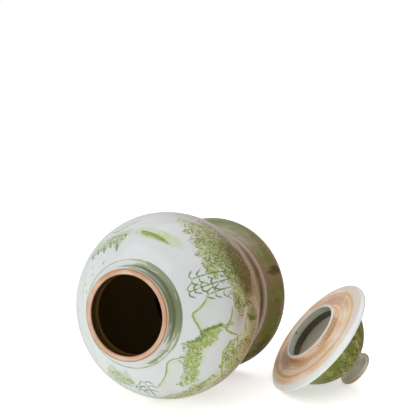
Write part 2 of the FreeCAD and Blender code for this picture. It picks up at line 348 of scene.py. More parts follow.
def painted_glaze(name):
    """Pale celadon-white glaze over green brushwork; the layers say where the brush went, and warm where
    painted shade and reflection turn it brown.
    """
    s = Shader(name, JAR_PLACE)
    wash, leaf, sage, warm, deep = (s.layer(n) for n in ("wash", "leaf", "sage", "warm", "deep"))
    line, ink, band = (s.layer(n) for n in ("line", "ink", "band"))
    soft, fine, grit = s.noise(28, 2), s.noise(190, 3, 0.6), s.noise(700, 2, 0.6)
    colour = s.mix(soft, rgb("cfd1cf"), rgb("c3c6c6"))
    # painted shade and reflection: where warm is high the glaze, washes, foliage and strokes below turn
    # pinkish brown
    tint = s.mix(s.noise(14, 2), rgb("a1846c"), rgb("ad968a"))
    tint = s.mix(s.step(s.noise(45, 3), 0.45, 0.75), tint, rgb("9c7f4c"))
    colour = s.mix(s.times(warm, s.step(soft, 0.0, 0.6, (0.8, 1.0))), colour, tint)
    pale = s.mix(sage, s.mix(fine, rgb("c1c79a"), rgb("a8ae6e")), s.mix(fine, rgb("a9ba98"), rgb("7e9670")))
    colour = s.mix(s.times(wash, s.step(fine, 0.25, 0.7, (0.6, 1.0))), colour,
                   s.mix(s.times(warm, 0.55), pale, rgb("857c3c")))
    dark = s.mix(s.noise(90, 3), rgb("463410"), rgb("6a4d1e"))
    dark = s.mix(s.step(s.noise(420, 2), 0.54, 0.66), dark, rgb("a3874e"))
    dark = s.mix(s.step(s.noise(60, 2), 0.45, 0.7), dark, rgb("5b5420"))
    colour = s.mix(s.times(deep, s.step(fine, 0.2, 0.6, (0.85, 1.0))), colour, dark)
    spots, kept = s.cells(400), s.cells(400, out="Color")
    keep = s.math("LESS_THAN", kept, s.times(leaf, 1.2))
    dab = s.times(s.step(s.plus(spots, s.times(grit, 0.25)), 0.75, 0.5), keep)
    small = s.times(s.step(s.cells(720), 0.62, 0.35), s.step(leaf, 0.3, 0.85))
    foliage = s.mix(s.step(s.noise(55, 2), 0.4, 0.62), rgb("90964c"), rgb("6b6e2a"))
    foliage = s.mix(s.times(warm, 0.75), foliage, rgb("75642e"))
    foliage = s.mix(sage, s.mix(s.times(deep, 0.85), foliage, rgb("4d3d12")), rgb("75876a"))
    under_leaf = s.times(s.times(leaf, 0.72), s.plus(s.times(deep, -0.75), 1.0))
    colour = s.mix(under_leaf, colour, s.mix(warm, rgb("bbc083"), rgb("a89a6c")))
    colour = s.mix(s.times(s.math("MAXIMUM", dab, s.times(small, 0.75)), 0.9), colour, foliage)
    rough_edge = s.times(s.plus(fine, -0.5), 0.9)
    drawn = s.step(s.plus(line, rough_edge), -0.4, 0.45)
    colour = s.mix(s.times(drawn, s.step(fine, 0.2, 0.6, (0.65, 0.95))), colour,
                   s.mix(sage, s.mix(warm, rgb("879b4b"), rgb("7d7434")), rgb("86a070")))
    inked = s.step(s.plus(ink, rough_edge), -0.35, 0.4)
    colour = s.mix(s.times(inked, s.step(fine, 0.2, 0.6, (0.7, 0.97))), colour,
                   s.mix(sage, s.mix(s.times(warm, 0.85), rgb("5f7c1c"), rgb("4b4510")), rgb("728566")))
    brushed = s.noise(1.0, 4, 0.7, s.around(42, 560), 0.6)
    swept = s.step(s.plus(s.times(band, 0.6), s.times(brushed, 0.9)), 0.7, 0.86)
    colour = s.mix(s.times(band, s.step(brushed, 0.4, 0.62, (0.0, 0.7))), colour, rgb("b9bfae"))
    colour = s.mix(s.times(swept, 0.92), colour, s.mix(s.step(band, 0.6, 0.95), rgb("848e67"), rgb("4a4d0c")))
    speck = s.step(s.cells(120), 0.035, 0.02)
    colour = s.mix(s.times(speck, 0.5), colour, rgb("8a7a60"))
    height = s.plus(s.noise(38, 1), s.times(s.noise(240, 2), 0.12))
    rough = s.step(s.noise(75, 3), 0.3, 0.8, (0.08, 0.18))
    return s.finish(colour, rough, height, strength=0.25, distance=0.0006, **GLAZE)


def stepped_glaze(name):
    """Brown and olive washes brushed down the waist and the flared foot, with painted shade in the waist's
    grooves and pale painted highlights along the bead tops.
    """
    s = Shader(name, JAR_PLACE)
    olive, dark, cool, ring = (s.layer(n) for n in ("olive", "dark", "cool", "ring"))
    fine, broad = s.noise(170, 3, 0.6), s.noise(22, 2)
    drag = s.noise(1.0, 4, 0.62, s.around(0, 45, 0, 5.0), 1.0)
    streak = s.noise(1.0, 3, 0.6, s.around(0, 60, 0, 9.0), 0.8)
    colour = s.mix(broad, rgb("8a6e50"), rgb("776640"))
    colour = s.mix(s.times(cool, 0.75), colour, rgb("b0b09e"))
    wash = s.step(s.plus(s.times(olive, 0.7), s.times(drag, 0.8)), 0.55, 0.95)
    colour = s.mix(s.times(wash, 0.9), colour, s.mix(fine, rgb("717a36"), rgb("555a1c")))
    # dark: brushed dark washes, plus painted shade in the waist's grooves
    deep = s.step(s.plus(s.times(dark, 0.75), s.times(streak, 0.7)), 0.66, 0.98)
    colour = s.mix(s.times(deep, 0.9), colour, s.mix(broad, rgb("3f3006"), rgb("44460c")))
    pale = s.times(s.step(streak, 0.62, 0.8), s.step(drag, 0.5, 0.7))
    colour = s.mix(s.times(pale, 0.35), colour, rgb("a8977c"))
    # ring: pale painted highlights along the bead tops, and the pale bare edge at the foot
    colour = s.mix(s.times(s.step(s.plus(ring, s.times(fine, 0.35)), 0.6, 0.95), 0.9), colour, rgb("b59b8b"))
    height = s.plus(s.noise(30, 1), s.times(streak, 0.25))
    rough = s.step(fine, 0.3, 0.8, (0.1, 0.24))
    return s.finish(colour, rough, height, strength=0.3, distance=0.0006, **GLAZE)


def bare_clay(name, place, pale, tan, rust, radial, axial=0.0, tints=(), glazed=None, speck=0.22):
    """Unglazed clay with the turning marks of the wheel.

    radial and axial say how close the marks lie, tints are (layer, colour, amount), and glazed is
    the colour of the glaze where the layer of that name covers the clay.
    """
    s = Shader(name, place)
    rings = s.noise(1.0, 4, 0.6, s.around(9, axial, radial))
    wide = s.noise(1.0, 2, 0.5, s.around(16, axial * 0.3, radial * 0.28))
    blotch, grain = s.noise(42, 3), s.noise(620, 3, 0.7)
    colour = s.mix(s.step(s.plus(s.times(wide, 0.55), s.times(blotch, 0.5)), 0.38, 0.66), rgb(pale), rgb(tan))
    colour = s.mix(s.times(s.step(s.plus(rings, s.times(blotch, 0.5)), 0.72, 0.98), 0.6), colour, rgb(rust))
    colour = s.mix(s.times(s.step(grain, 0.5, 0.72), speck), colour, rgb("8d7460"))
    for layer, code, amount in tints:
        edge_mask = s.step(s.plus(s.layer(layer), s.times(s.plus(blotch, -0.5), 0.5)), 0.25, 0.8)
        colour = s.mix(s.times(edge_mask, amount), colour, rgb(code))
    rough = s.step(blotch, 0.3, 0.7, (0.5, 0.72))
    height = s.plus(s.times(rings, 1.0), s.times(grain, 0.35))
    if glazed:
        cover = s.step(s.plus(s.layer("glazed"), s.times(s.plus(blotch, -0.5), 0.35)), 0.35, 0.7)
        white = s.mix(s.noise(30, 2), rgb(glazed), rgb("d3d6d3"))
        colour = s.mix(cover, colour, s.mix(s.step(s.noise(16, 2), 0.55, 0.8), white, rgb("d9cdbd")))
        rough = s.plus(rough, s.times(cover, -0.42))
        height = s.times(height, s.plus(s.times(cover, -0.85), 1.0))
    return s.finish(colour, rough, height, strength=0.35, distance=0.0005, **CLAY)


def brushed_green(name):
    """Green glaze swept over the dome in long strokes, thin and pale where the brush ran dry."""
    s = Shader(name, LID_PLACE)
    brown, bright = s.layer("brown"), s.layer("bright")
    sweep = s.noise(1.0, 3, 0.6, s.around(0, 40, -40, 6.0), 1.2)
    streak = s.noise(1.0, 3, 0.65, s.around(0, 60, -60, 13.0), 1.0)
    fine, broad = s.noise(180, 3, 0.6), s.noise(32, 2)
    colour = s.mix(broad, rgb("737a35"), rgb("5f6020"))
    colour = s.mix(s.step(sweep, 0.5, 0.7), colour, rgb("8e9840"))
    colour = s.mix(s.times(s.step(streak, 0.53, 0.66), 0.75), colour, rgb("b7b18c"))
    colour = s.mix(s.times(s.step(sweep, 0.5, 0.36), 0.85), colour, rgb("464408"))
    colour = s.mix(s.times(bright, s.step(fine, 0.2, 0.7, (0.2, 0.7))), colour, rgb("7f8c33"))
    colour = s.mix(s.times(brown, s.step(sweep, 0.2, 0.7, (0.5, 0.95))), colour, rgb("4f3f10"))
    height = s.plus(s.noise(34, 1), s.times(streak, 0.3))
    rough = s.step(fine, 0.3, 0.8, (0.1, 0.22))
    return s.finish(colour, rough, height, strength=0.3, distance=0.0006, **GLAZE)


def clear_glaze(name, place, pale, grey, rust="a88e6e", rust_at=(0.62, 0.8), rough=(0.1, 0.22),
                stain_and_shade=None, fleck=None):
    """Plain glaze over the body, a little uneven, with faint iron staining where it lies thin.

    The darker area is the (layer, colour) given for iron staining on the knob and for painted shade inside
    the mouth and the lid, and fleck the colour of the layer of that name.
    """
    s = Shader(name, place)
    broad, fine = s.noise(36, 3), s.noise(260, 3, 0.6)
    colour = s.mix(broad, rgb(pale), rgb(grey))
    thin = s.step(s.plus(s.noise(18, 2), s.times(fine, 0.2)), *rust_at)
    colour = s.mix(s.times(thin, 0.4), colour, rgb(rust))
    # darker area: iron staining on the knob, painted shade in the mouth and the lid's hollow
    if stain_and_shade:
        mask = s.step(s.plus(s.layer(stain_and_shade[0]), s.times(s.plus(fine, -0.5), 0.5)), 0.2, 0.9)
        colour = s.mix(s.times(mask, 0.9), colour, rgb(stain_and_shade[1]))
    if fleck:
        colour = s.mix(s.layer("fleck"), colour, rgb(fleck))
    height = s.plus(s.noise(45, 1), s.times(fine, 0.15))
    return s.finish(colour, s.step(fine, 0.3, 0.8, rough), height, strength=0.25, distance=0.0005, **GLAZE)


painted = painted_glaze("painted_glaze")
waist_mat = stepped_glaze("waist_glaze")
# painted shade: the mouth layer darkens the neck's bore towards the rim
inner = clear_glaze("inner_glaze", JAR_PLACE, "7a6130", "655024", "806030", (0.5, 0.8), (0.28, 0.42),
                    stain_and_shade=("mouth", "33200c"))
biscuit = bare_clay("rim_biscuit", JAR_PLACE, "cdb29c", "b99274", "a56d45", 700,
                    tints=(("iron", "a95f31", 0.95),))
brim_mat = bare_clay("brim_biscuit", LID_PLACE, "f2e1cf", "e8c6a2", "d6a86e", 520,
                     tints=(("iron", "d09d60", 0.7), ("flush", "c29b89", 0.7), ("ash", "d3cabd", 0.9)),
                     glazed="eceeec")
collar_mat = bare_clay("collar_clay", LID_PLACE, "f6e4d0", "eaccaa", "b98551", 0, 700,
                       tints=(("iron", "a9794a", 0.65),), glazed="e8e5dc", speck=0.95)
green = brushed_green("green_glaze")
white = clear_glaze("white_glaze", JAR_PLACE, "e6e8e6", "d6dad9", "c4b29c", (0.66, 0.9))
# painted shade: the layer given as each stain darkens the lid's hollow
lid_inner = clear_glaze("lid_inner_glaze", LID_PLACE, "f8f4e6", "eeeada", "d6c6a4", (0.55, 0.8),
                        stain_and_shade=("hollow_shade", "2e260c"))
collar_inner = clear_glaze("collar_inner_glaze", LID_PLACE, "c9cbbc", "adb19f", "a08a66", (0.6, 0.85),
                           stain_and_shade=("hollow_shade", "2e260c"), fleck="2c4a7c")
knob_mat = clear_glaze("knob_glaze", LID_PLACE, "ded8c8", "c3bfab", "a19c6c", (0.42, 0.62),
                       stain_and_shade=("iron", "96704e"))

# steps between the rings of a mesh, millimetres
SMALL, FINE, MID, WIDE = 0.4, 0.9, 1.6, 3.0

# ---------------------------------------------------------------- the jar's pieces
neck, neck_data = turn("painted_neck", profile(
    (MOUTH_R, NECK_SEAM, "seam", WIDE, None),
    (NECK_SEAM_R, NECK_SEAM, "outer", 0.8, (SHOULDER_ARC, 1)),
    (NECK_FOOT_R, NECK_FOOT, "outer", 0.6, (NECK_COVE, -1)),
    (RIM_R, NECK_COVE_TOP, "outer", 0.6, None),
    (RIM_R, RIM_Z - RIM_ROUND, "rim", SMALL, (RIM_ROUND, 1)),
    (RIM_R - RIM_ROUND, RIM_Z, "rim", 0.6, None),
    (MOUTH_R + RIM_ROUND, RIM_Z, "rim", SMALL, (RIM_ROUND, 1)),
    (MOUTH_R, RIM_Z - RIM_ROUND, "inner", 0.8, None),
), 560, JAR_PLACE, {"seam": inner, "outer": painted, "rim": biscuit, "inner": inner})
shoulder, shoulder_data = turn("painted_shoulder", profile(
    (GLOBE_R - WALL, GLOBE_Z, "seam", WIDE, None),
    (GLOBE_R, GLOBE_Z, "outer", FINE, (SHOULDER_ARC, 1)),
    (NECK_SEAM_R, NECK_SEAM, "seam", WIDE, None),
    (MOUTH_R, NECK_SEAM, "inner", WIDE, (SHOULDER_ARC - WALL, -1)),
), 720, JAR_PLACE, {"seam": inner, "outer": painted, "inner": inner})
belly, belly_data = turn("painted_belly", profile(
    (WAIST_INNER_R, WAIST_Z, "seam", WIDE, None),
    (WAIST_R, WAIST_Z, "outer", FINE, (GLOBE_R, 1)),
    (GLOBE_R, GLOBE_Z, "seam", WIDE, None),
    (GLOBE_R - WALL, GLOBE_Z, "inner", WIDE, (GLOBE_R - WALL, -1)),
), 720, JAR_PLACE, {"seam": inner, "outer": painted, "inner": inner})
lower, lower_data = turn("stepped_lower_part", profile(
    (BASE_R, FOOT_Z, "seam", WIDE, None),
    (FOOT_SEAM_R, FOOT_Z, "outer", 0.8, (LOBE_ARC, 1)),
    (LOBE_TOP_R, LOBE_TOP, "outer", 0.5, (LOWER_STEP_ROUND, 1)),
    (*LOWER_STEP, "outer", 0.5, (UPPER_STEP_ROUND, 1)),
    (*UPPER_STEP, "outer", 0.5, (WAIST_COVE, -1)),
    (WAIST_R, WAIST_Z, "seam", WIDE, None),
    (WAIST_INNER_R, WAIST_Z, "inner", WIDE, None),
    (THROAT_R, THROAT_Z, "inner", WIDE, (LOBE_ARC - WALL, -1)),
    (LEDGE_R, BASE_TOP, "inner", WIDE, None),
    (BASE_R, BASE_TOP, "seam", WIDE, None),
), 640, JAR_PLACE, {"seam": inner, "outer": waist_mat, "inner": inner})
base, _ = turn("base_disc_glazed", profile(
    (0, FOOT_Z, "under", MID, None),
    (BASE_R, FOOT_Z, "seam", WIDE, None),
    (BASE_R, BASE_TOP, "inner", MID, None),
    (0, BASE_TOP, None, 0, None),
), 360, JAR_PLACE, {"under": white, "seam": inner, "inner": inner})
foot, foot_data = turn("bare_foot", profile(
    (FOOT_INNER_R + FOOT_ROUND, 0, "foot", FINE, None),
    (FOOT_FLAT_R, 0, "foot", 0.35, (FOOT_ROUND, 1)),
    (FOOT_EDGE_R, FOOT_EDGE_Z, "edge", 0.5, (LOBE_ARC, 1)),
    (FOOT_SEAM_R, FOOT_Z, "seam", WIDE, None),
    (FOOT_INNER_R, FOOT_Z, "well", 0.6, None),
    (FOOT_INNER_R, FOOT_ROUND, "foot", 0.35, (FOOT_ROUND, 1)),
), 560, JAR_PLACE, {"foot": biscuit, "edge": waist_mat, "seam": inner, "well": white})

# ---------------------------------------------------------------- the lid's pieces
collar, collar_data = turn("lid_collar_ring", profile(
    (COLLAR_INNER_R + COLLAR_ROUND, 0, "lip", 0.5, None),
    (COLLAR_R - COLLAR_ROUND, 0, "lip", 0.25, (COLLAR_ROUND, 1)),
    (COLLAR_R, COLLAR_ROUND, "outer", 0.5, None),
    (COLLAR_R, COLLAR_DROP, "seam", 1.0, None),
    (COLLAR_INNER_R, COLLAR_DROP, "inner", 0.5, None),
    (COLLAR_INNER_R, COLLAR_ROUND, "lip", 0.25, (COLLAR_ROUND, 1)),
), 480, LID_PLACE, {"lip": collar_mat, "outer": collar_mat, "seam": brim_mat, "inner": collar_inner},
    wobble=0.12)
brim_low = edge(BRIM_R, BRIM_EDGE_ROUND, BRIM_EDGE_Z, BRIM_EDGE_LOW, -1)
brim_high = edge(BRIM_R, BRIM_EDGE_ROUND, BRIM_EDGE_Z, BRIM_EDGE_HIGH, 1)
brim, brim_data = turn("lid_brim_plate", profile(
    (COLLAR_INNER_R, COLLAR_DROP, "flat", 0.7, None),
    (BRIM_FLAT_R, COLLAR_DROP, "lip", 0.6, (BRIM_LIP_ARC, 1)),
    (*brim_low, "lip", 0.3, (BRIM_EDGE_ROUND, 1)),
    (*brim_high, "top", 1.0, None),
    (DOME_R, BRIM_TOP, "seam", WIDE, None),
    (COLLAR_INNER_R, BRIM_TOP, "inner", 0.8, None),
), 640, LID_PLACE, {"flat": brim_mat, "lip": brim_mat, "top": green, "seam": lid_inner,
                    "inner": collar_inner}, wobble=0.15)
dome, dome_data = turn("lid_dome_shell", profile(
    (0, DOME_C + DOME_INNER_ARC, "inner", MID, (DOME_INNER_ARC, -1)),
    (DOME_INNER_R, BRIM_TOP, "seam", WIDE, None),
    (DOME_R, BRIM_TOP, "outer", 0.8, (DOME_ARC, 1)),
    (DOME_SEAT_R, DOME_TOP, "seam", WIDE, None),
    (0, DOME_TOP, None, 0, None),
), 480, LID_PLACE, {"inner": lid_inner, "seam": lid_inner, "outer": green}, wobble=0.15)
knob_low = edge(KNOB_R, KNOB_EDGE_ROUND, KNOB_EDGE_Z, KNOB_EDGE_LOW, -1)
knob_high = edge(KNOB_R, KNOB_EDGE_ROUND, KNOB_EDGE_Z, KNOB_EDGE_HIGH, 1)
cap_rise = KNOB_TOP - knob_high[1]
cap_arc = (knob_high[0] ** 2 + cap_rise ** 2) / (2 * cap_rise)
knob, knob_data = turn("lid_knob_button", profile(
    (0, DOME_TOP, "seam", WIDE, None),
    (DOME_SEAT_R, DOME_TOP, "under", 0.5, (KNOB_COVE, -1)),
    (*knob_low, "edge", 0.35, (KNOB_EDGE_ROUND, 1)),
    (*knob_high, "top", 0.7, (cap_arc, 1)),
    (0, KNOB_TOP, None, 0, None),
), 300, LID_PLACE, {"seam": lid_inner, "under": knob_mat, "edge": knob_mat, "top": knob_mat}, wobble=0.1)

# ---------------------------------------------------------------- the brushwork on the globe
# Places are (degrees round the jar, millimetres of profile from its widest line towards the mouth).
# wash, leaf, sage, warm and deep hold amounts, warm being painted shade and reflection rather than brushwork;
# line and ink hold how far inside a stroke a place is.
SHEET_LOW, SHEET_HIGH = -86.0, 96.0
COLS, ROWS_PER_MM = 1440, 2.0
SHEET_S = np.arange(SHEET_LOW, SHEET_HIGH, 1 / ROWS_PER_MM)
SHEET_R = np.where(SHEET_S > 0, SHOULDER_C + SHOULDER_ARC * np.cos(SHEET_S / SHOULDER_ARC),
                   GLOBE_R * np.cos(SHEET_S / GLOBE_R))
LAYERS = {n: np.zeros((len(SHEET_S), COLS)) for n in ("wash", "leaf", "sage", "warm", "deep")}
LAYERS.update({n: np.full((len(SHEET_S), COLS), -3.0) for n in ("line", "ink")})
DEG = (np.arange(COLS) * 360.0 / COLS - 180)[None]
UP = SHEET_S[:, None]


def away(angle, centre):
    """Degrees from a direction, the short way round."""
    return (angle - centre + 180) % 360 - 180


def cloud(across, along, seed):
    """Smooth patches between 0 and 1 over the whole sheet, closed round the jar."""
    local = np.random.default_rng(seed)
    grid = local.random((along + 3, across))
    grid = np.concatenate([grid, grid[:, :1]], 1)
    rows = np.linspace(0, along + 1.99, len(SHEET_S))
    cols = np.linspace(0, across, COLS, endpoint=False)
    i, j = rows.astype(int), cols.astype(int)
    a, b = rows - i, cols - j
    a, b = (a * a * (3 - 2 * a))[:, None], (b * b * (3 - 2 * b))[None]

    def knot(di, dj):
        return grid[np.ix_(i + di, j + dj)]

    return (knot(0, 0) * (1 - a) * (1 - b) + knot(1, 0) * a * (1 - b)
            + knot(0, 1) * (1 - a) * b + knot(1, 1) * a * b)


def ease(x, low, high):
    """0 below low, 1 above high and a smooth rise between them."""
    t = np.clip((x - low) / (high - low), 0, 1)
    return t * t * (3 - 2 * t)


def smooth_path(points, spacing=0.6):
    """Even points along a Catmull-Rom curve through the brush's places."""
    p = np.array(points, float)
    p = np.concatenate([[2 * p[0] - p[1]], p, [2 * p[-1] - p[-2]]])
    out = []
    for k in range(1, len(p) - 2):
        a, b, c, d = p[k - 1:k + 3]
        length = math.hypot((c[0] - b[0]) * 1.4, c[1] - b[1])
        for t in np.arange(0, 1, min(0.5, spacing / max(length, 0.1))):
            out.append(0.5 * (2 * b + (c - a) * t + (2 * a - 5 * b + 4 * c - d) * t ** 2
                              + (3 * b - a - 3 * c + d) * t ** 3))
    out.append(p[-2])
    return np.array(out)


def stroke(layer, points, width, taper=0.25, reach=1.6):
    """One brush stroke: its half width swells from a pointed start and thins to its end.

    taper is the share of the width left at the points, reach how far round the stroke it is kept.
    """
    path = smooth_path(points)
    sheet = LAYERS[layer]
    for t, (deg, up) in zip(np.linspace(0, 1, len(path)), path):
        half = width * (taper + (1 - taper) * math.sin(math.pi * min(1, max(0, 0.12 + 0.85 * t))) ** 0.7)
        row = int(round((up - SHEET_LOW) * ROWS_PER_MM))
        if not 2 < row < len(SHEET_S) - 3:
            continue
        per_deg = math.radians(SHEET_R[row])
        span = half + reach
        cols = int(span / per_deg * COLS / 360) + 1
        mid = (deg + 180) * COLS / 360
        tall = int(span * ROWS_PER_MM)
        rows = np.arange(max(0, row - tall), min(len(SHEET_S), row + tall + 1))
        near = np.arange(int(mid) - cols, int(mid) + cols + 1)
        dx = (near - mid)[None] * 360 / COLS * per_deg
        dy = SHEET_S[rows][:, None] - up
        patch = np.ix_(rows, near % COLS)
        sheet[patch] = np.maximum(sheet[patch], half - np.hypot(dx, dy))


def blot(layer, centre, size, amount=1.0, soft=0.35, ragged=0.25, lean=0.0, seed=1):
    """A soft-edged patch of colour: size is its half widths in degrees and millimetres."""
    dx = away(DEG, centre[0]) / size[0]
    dy = (UP - centre[1]) / size[1] + lean * dx
    d = np.hypot(dx, dy) + ragged * (cloud(90, 26, seed) - 0.5) * 2
    LAYERS[layer] = np.maximum(LAYERS[layer], amount * (1 - ease(d, 1 - soft, 1 + soft)))


def ridge(points, depth=9.0, amount=0.6, width=0.85):
    """A hill's outline with its wash fading below it."""
    path = smooth_path(points)
    stroke("line", points, width, 0.5)
    order = np.argsort(path[:, 0])
    top = np.interp(DEG[0], path[order, 0], path[order, 1], left=-999, right=-999)[None]
    first, last = path[:, 0].min(), path[:, 0].max()
    ends = ease(DEG, first, first + 4) * (1 - ease(DEG, last - 4, last))
    below = top - UP
    body = np.where(below > 0, np.exp(-np.maximum(below, 0) / depth), 0)
    body = body * ends * (0.6 + 0.6 * cloud(60, 20, 5))
    LAYERS["wash"] = np.maximum(LAYERS["wash"], amount * np.clip(body, 0, 1))


def tufted_tree(root, tip, tufts, width=0.74):
    """A slender trunk with drooping arched tufts, each (height share, side reach, drop)."""
    (x0, y0), (x1, y1) = root, tip
    stroke("ink", [(x0, y0), ((x0 + x1) / 2 + 0.5, (y0 + y1) / 2), (x1, y1)], width, 0.6)
    for share, reach, drop in tufts:
        cx, cy = x0 + (x1 - x0) * share, y0 + (y1 - y0) * share
        for side in (-1, 1):
            tip_x = cx + side * reach * rng.uniform(0.8, 1.15)
            stroke("ink", [(cx, cy), (cx + (tip_x - cx) * 0.5, cy + 1.2), (tip_x, cy - drop)], 0.85, 0.25)


def bristles(points, count, length, width, slant=0.0, spread=(0, 4), layer="ink"):
    """Short upright strokes scattered along and under a line."""
    path = smooth_path(points)
    for _ in range(count):
        x, y = path[rng.integers(len(path))]
        y = y - rng.uniform(*spread)
        dx, dy = slant + rng.normal(0, 0.7), length * rng.uniform(0.6, 1.3)
        blade = [(x, y), (x + dx * 0.5, y + dy * 0.55), (x + dx, y + dy)]
        stroke(layer, blade, width * rng.uniform(0.7, 1.2), 0.3, 1.0)


# painted shade and reflection: warm is a brown tint strongest on the shaded side round 10 degrees and low on
# the globe, fainter behind, plus a small pink spot at 2 degrees
SHADED_SIDE = np.exp(-(away(DEG, 10) / 62.0) ** 2)
BEHIND = 1 - 0.45 * np.exp(-(away(DEG, -165) / 95.0) ** 4)
LOW_DOWN = (1 - ease(UP, -22, 34)) * (0.35 + 0.65 * SHADED_SIDE)
HIGHER_UP = 0.22 * SHADED_SIDE * (1 - ease(UP, 10, 55))
BLUSH = 0.5 * np.exp(-(away(DEG, 2) / 10) ** 2 - ((UP - 26) / 10) ** 2)
LAYERS["warm"][:] = BEHIND * (LOW_DOWN + HIGHER_UP) * (0.8 + 0.4 * cloud(16, 6, 2))
LAYERS["warm"] = np.clip(LAYERS["warm"] + BLUSH, 0, 1)
# ridges and their washes
ridge([(-74, 60), (-66, 67), (-57, 75), (-49, 83), (-42, 83), (-36, 77)], 10, 0.55)
ridge([(-13, 66), (-6, 71), (1, 77), (6, 78), (10, 71), (15, 64), (20, 60)], 6, 0.85, 1.2)
ridge([(-10, 24), (-8, 36), (-5, 42), (0, 37), (8, 34)], 8, 0.6, 1.1)
ridge([(-42, 10), (-36, 22), (-30, 30), (-21, 37), (-14, 30), (-10, 18)], 14, 0.9, 1.0)
ridge([(-92, 30), (-80, 34), (-70, 40), (-58, 32), (-48, 33), (-38, 31)], 9, 0.9, 0.9)
ridge([(150, 66), (162, 76), (172, 82), (179, 78)], 9, 0.35, 0.3)
ridge([(-180, 78), (-172, 68), (-160, 74), (-150, 82), (-140, 80), (-128, 66)], 9, 0.35, 0.3)
ridge([(100, 34), (116, 46), (126, 38), (140, 50), (156, 40), (170, 30)], 12, 0.6)
# the bristling hill
TOP = [(-58, 53), (-50, 58), (-42, 66), (-38, 74), (-31, 76), (-22, 80),
       (-18, 74), (-14, 68), (-9, 67), (-6, 60), (-3, 49)]
hill_top = np.interp(DEG[0], *np.array(TOP).T, left=-999, right=-999)[None]
hill = ease(hill_top - UP, -1, 3) * (1 - ease(hill_top - UP, 14, 26)) * ease(UP, 45, 52)
LAYERS["leaf"] = np.maximum(LAYERS["leaf"], 0.5 * hill * (0.6 + 0.7 * cloud(120, 30, 9)))
LAYERS["wash"] = np.maximum(LAYERS["wash"], 0.75 * hill)
bristles(TOP, 125, 3.6, 0.42, -0.5, (-1, 2))
bristles(TOP, 420, 3.6, 0.5, 1.2, (2, 20), "line")
bristles(TOP[6:], 85, 3.2, 0.5, 0.4, (-1, 5))
# slender trees above the thicket
tufted_tree((20, 30), (19, 59), [(1.0, 5.0, 6), (0.7, 5.5, 6)])
tufted_tree((25, 30), (25, 77), [(1.0, 5.5, 4), (0.86, 5.0, 5), (0.7, 4.0, 4), (0.45, 5.0, 6)])
tufted_tree((30, 30), (34, 70), [(1.0, 6.5, 5), (0.8, 6.5, 6), (0.55, 4.5, 4)])
tufted_tree((-82, 40), (-81, 70), [(1.0, 7, 5), (0.75, 8, 5), (0.5, 6, 5)])
tufted_tree((-86, 42), (-88, 62), [(1.0, 5, 5), (0.6, 5, 5)])
# thickets
THICKETS = (((44, 32), (15, 17), 0.95, 3), ((57, 24), (13, 16), 0.8, 4), ((36, 44), (7, 7), 0.8, 6),
            ((52, 6), (16, 12), 0.75, 7), ((70, 24), (9, 9), 0.45, 8), ((22, 24), (17, 9), 0.8, 12),
            ((8, 22), (6, 5), 0.7, 13), ((-62, 30), (20, 8), 0.6, 14), ((-20, 30), (8, 6), 0.6, 15))
for centre, size, amount, seed in THICKETS:
    blot("leaf", centre, size, amount, 0.3, 0.35, 0.0, seed)
for _ in range(900):
    x, y = rng.normal(42, 14), rng.normal(22, 13)
    if y < 52 and math.hypot((x - 43) / 28, (y - 20) / 32) < 1:
        tip = (x + rng.normal(0.5, 0.9), y + rng.uniform(1.0, 2.6))
        stroke("ink", [(x, y), tip], rng.uniform(0.22, 0.5), 0.4, 1.0)
blot("deep", (29, 4), (19, 17), 1.0, 0.3, 0.2, 0.0, 20)
blot("leaf", (29, 14), (24, 14), 0.9, 0.3, 0.3, 0.0, 23)
for x, y in ((12, 30), (15, 36), (10, 24), (17, 41), (9, 18), (13, 12)):
    stroke("ink", [(x - 2.5, y - 2), (x, y + 1.5), (x + 2.5, y - 1)], 0.7, 0.3)
blot("deep", (47, 2), (7, 6), 0.6, 0.3, 0.2, 0.0, 21)
blot("deep", (10, 26), (5, 4), 0.45, 0.4, 0.3, 0.0, 22)
# islands, firs and reeds
blot("wash", (79, 56), (21, 7.5), 0.7, 0.3, 0.12, 0.1, 30)
blot("wash", (81, 58), (13, 5), 1.0, 0.3, 0.2, 0.1, 31)
for x, y, reach, half in ((89, 55.5, 10, 1.5), (85, 57, 15, 2.0), (81, 58.5, 17, 2.2),
                          (77, 60, 13, 1.8), (88, 59, 9, 1.1), (72, 61, 8, 1.1)):
    stroke("line", [(x + reach * 0.55, y - 0.8), (x, y + 0.3), (x - reach * 0.55, y + 0.9)], half, 0.15)
for x, y in ((92, 55), (87, 56), (83, 57.5), (79, 59), (75, 60)):
    stroke("ink", [(x + 2.2, y - 0.8), (x - 2.2, y + 0.9)], 0.8, 0.2)
blot("leaf", (124, 60), (20, 7), 0.55, 0.35, 0.3, 0.0, 32)
for x, y, w, h in ((113, 66, 4, 11), (120, 62, 3, 7), (127, 62, 3.5, 8),
                   (134, 59, 3, 6), (107, 55, 3, 5), (141, 57, 3, 5)):
    stroke("ink", [(x, y + h), (x + 0.3, y)], w * 0.45, 0.1)
    blot("wash", (x, y - 1), (w, h * 0.7), 0.9, 0.35, 0.3, 0.0, int(x))
blot("wash", (124, 54), (22, 6), 0.6, 0.4, 0.3, 0.0, 35)
blot("wash", (-105, 68), (15, 13), 0.8, 0.4, 0.4, 0.0, 36)
blot("leaf", (-105, 68), (13, 11), 0.55, 0.4, 0.4, 0.0, 37)
blot("leaf", (-165, 40), (22, 14), 0.7, 0.3, 0.4, 0.0, 38)
blot("leaf", (150, 22), (24, 14), 0.75, 0.3, 0.4, 0.0, 39)
blot("deep", (158, 6), (15, 11), 0.5, 0.3, 0.3, 0.0, 40)
blot("leaf", (-125, 22), (20, 12), 0.7, 0.3, 0.4, 0.0, 41)
for x, y in ((128, 82), (145, 82), (142, 74), (163, 84), (158, 78)):
    stroke("ink", [(x, y), (x + 3, y + 1)], 0.7, 0.2)
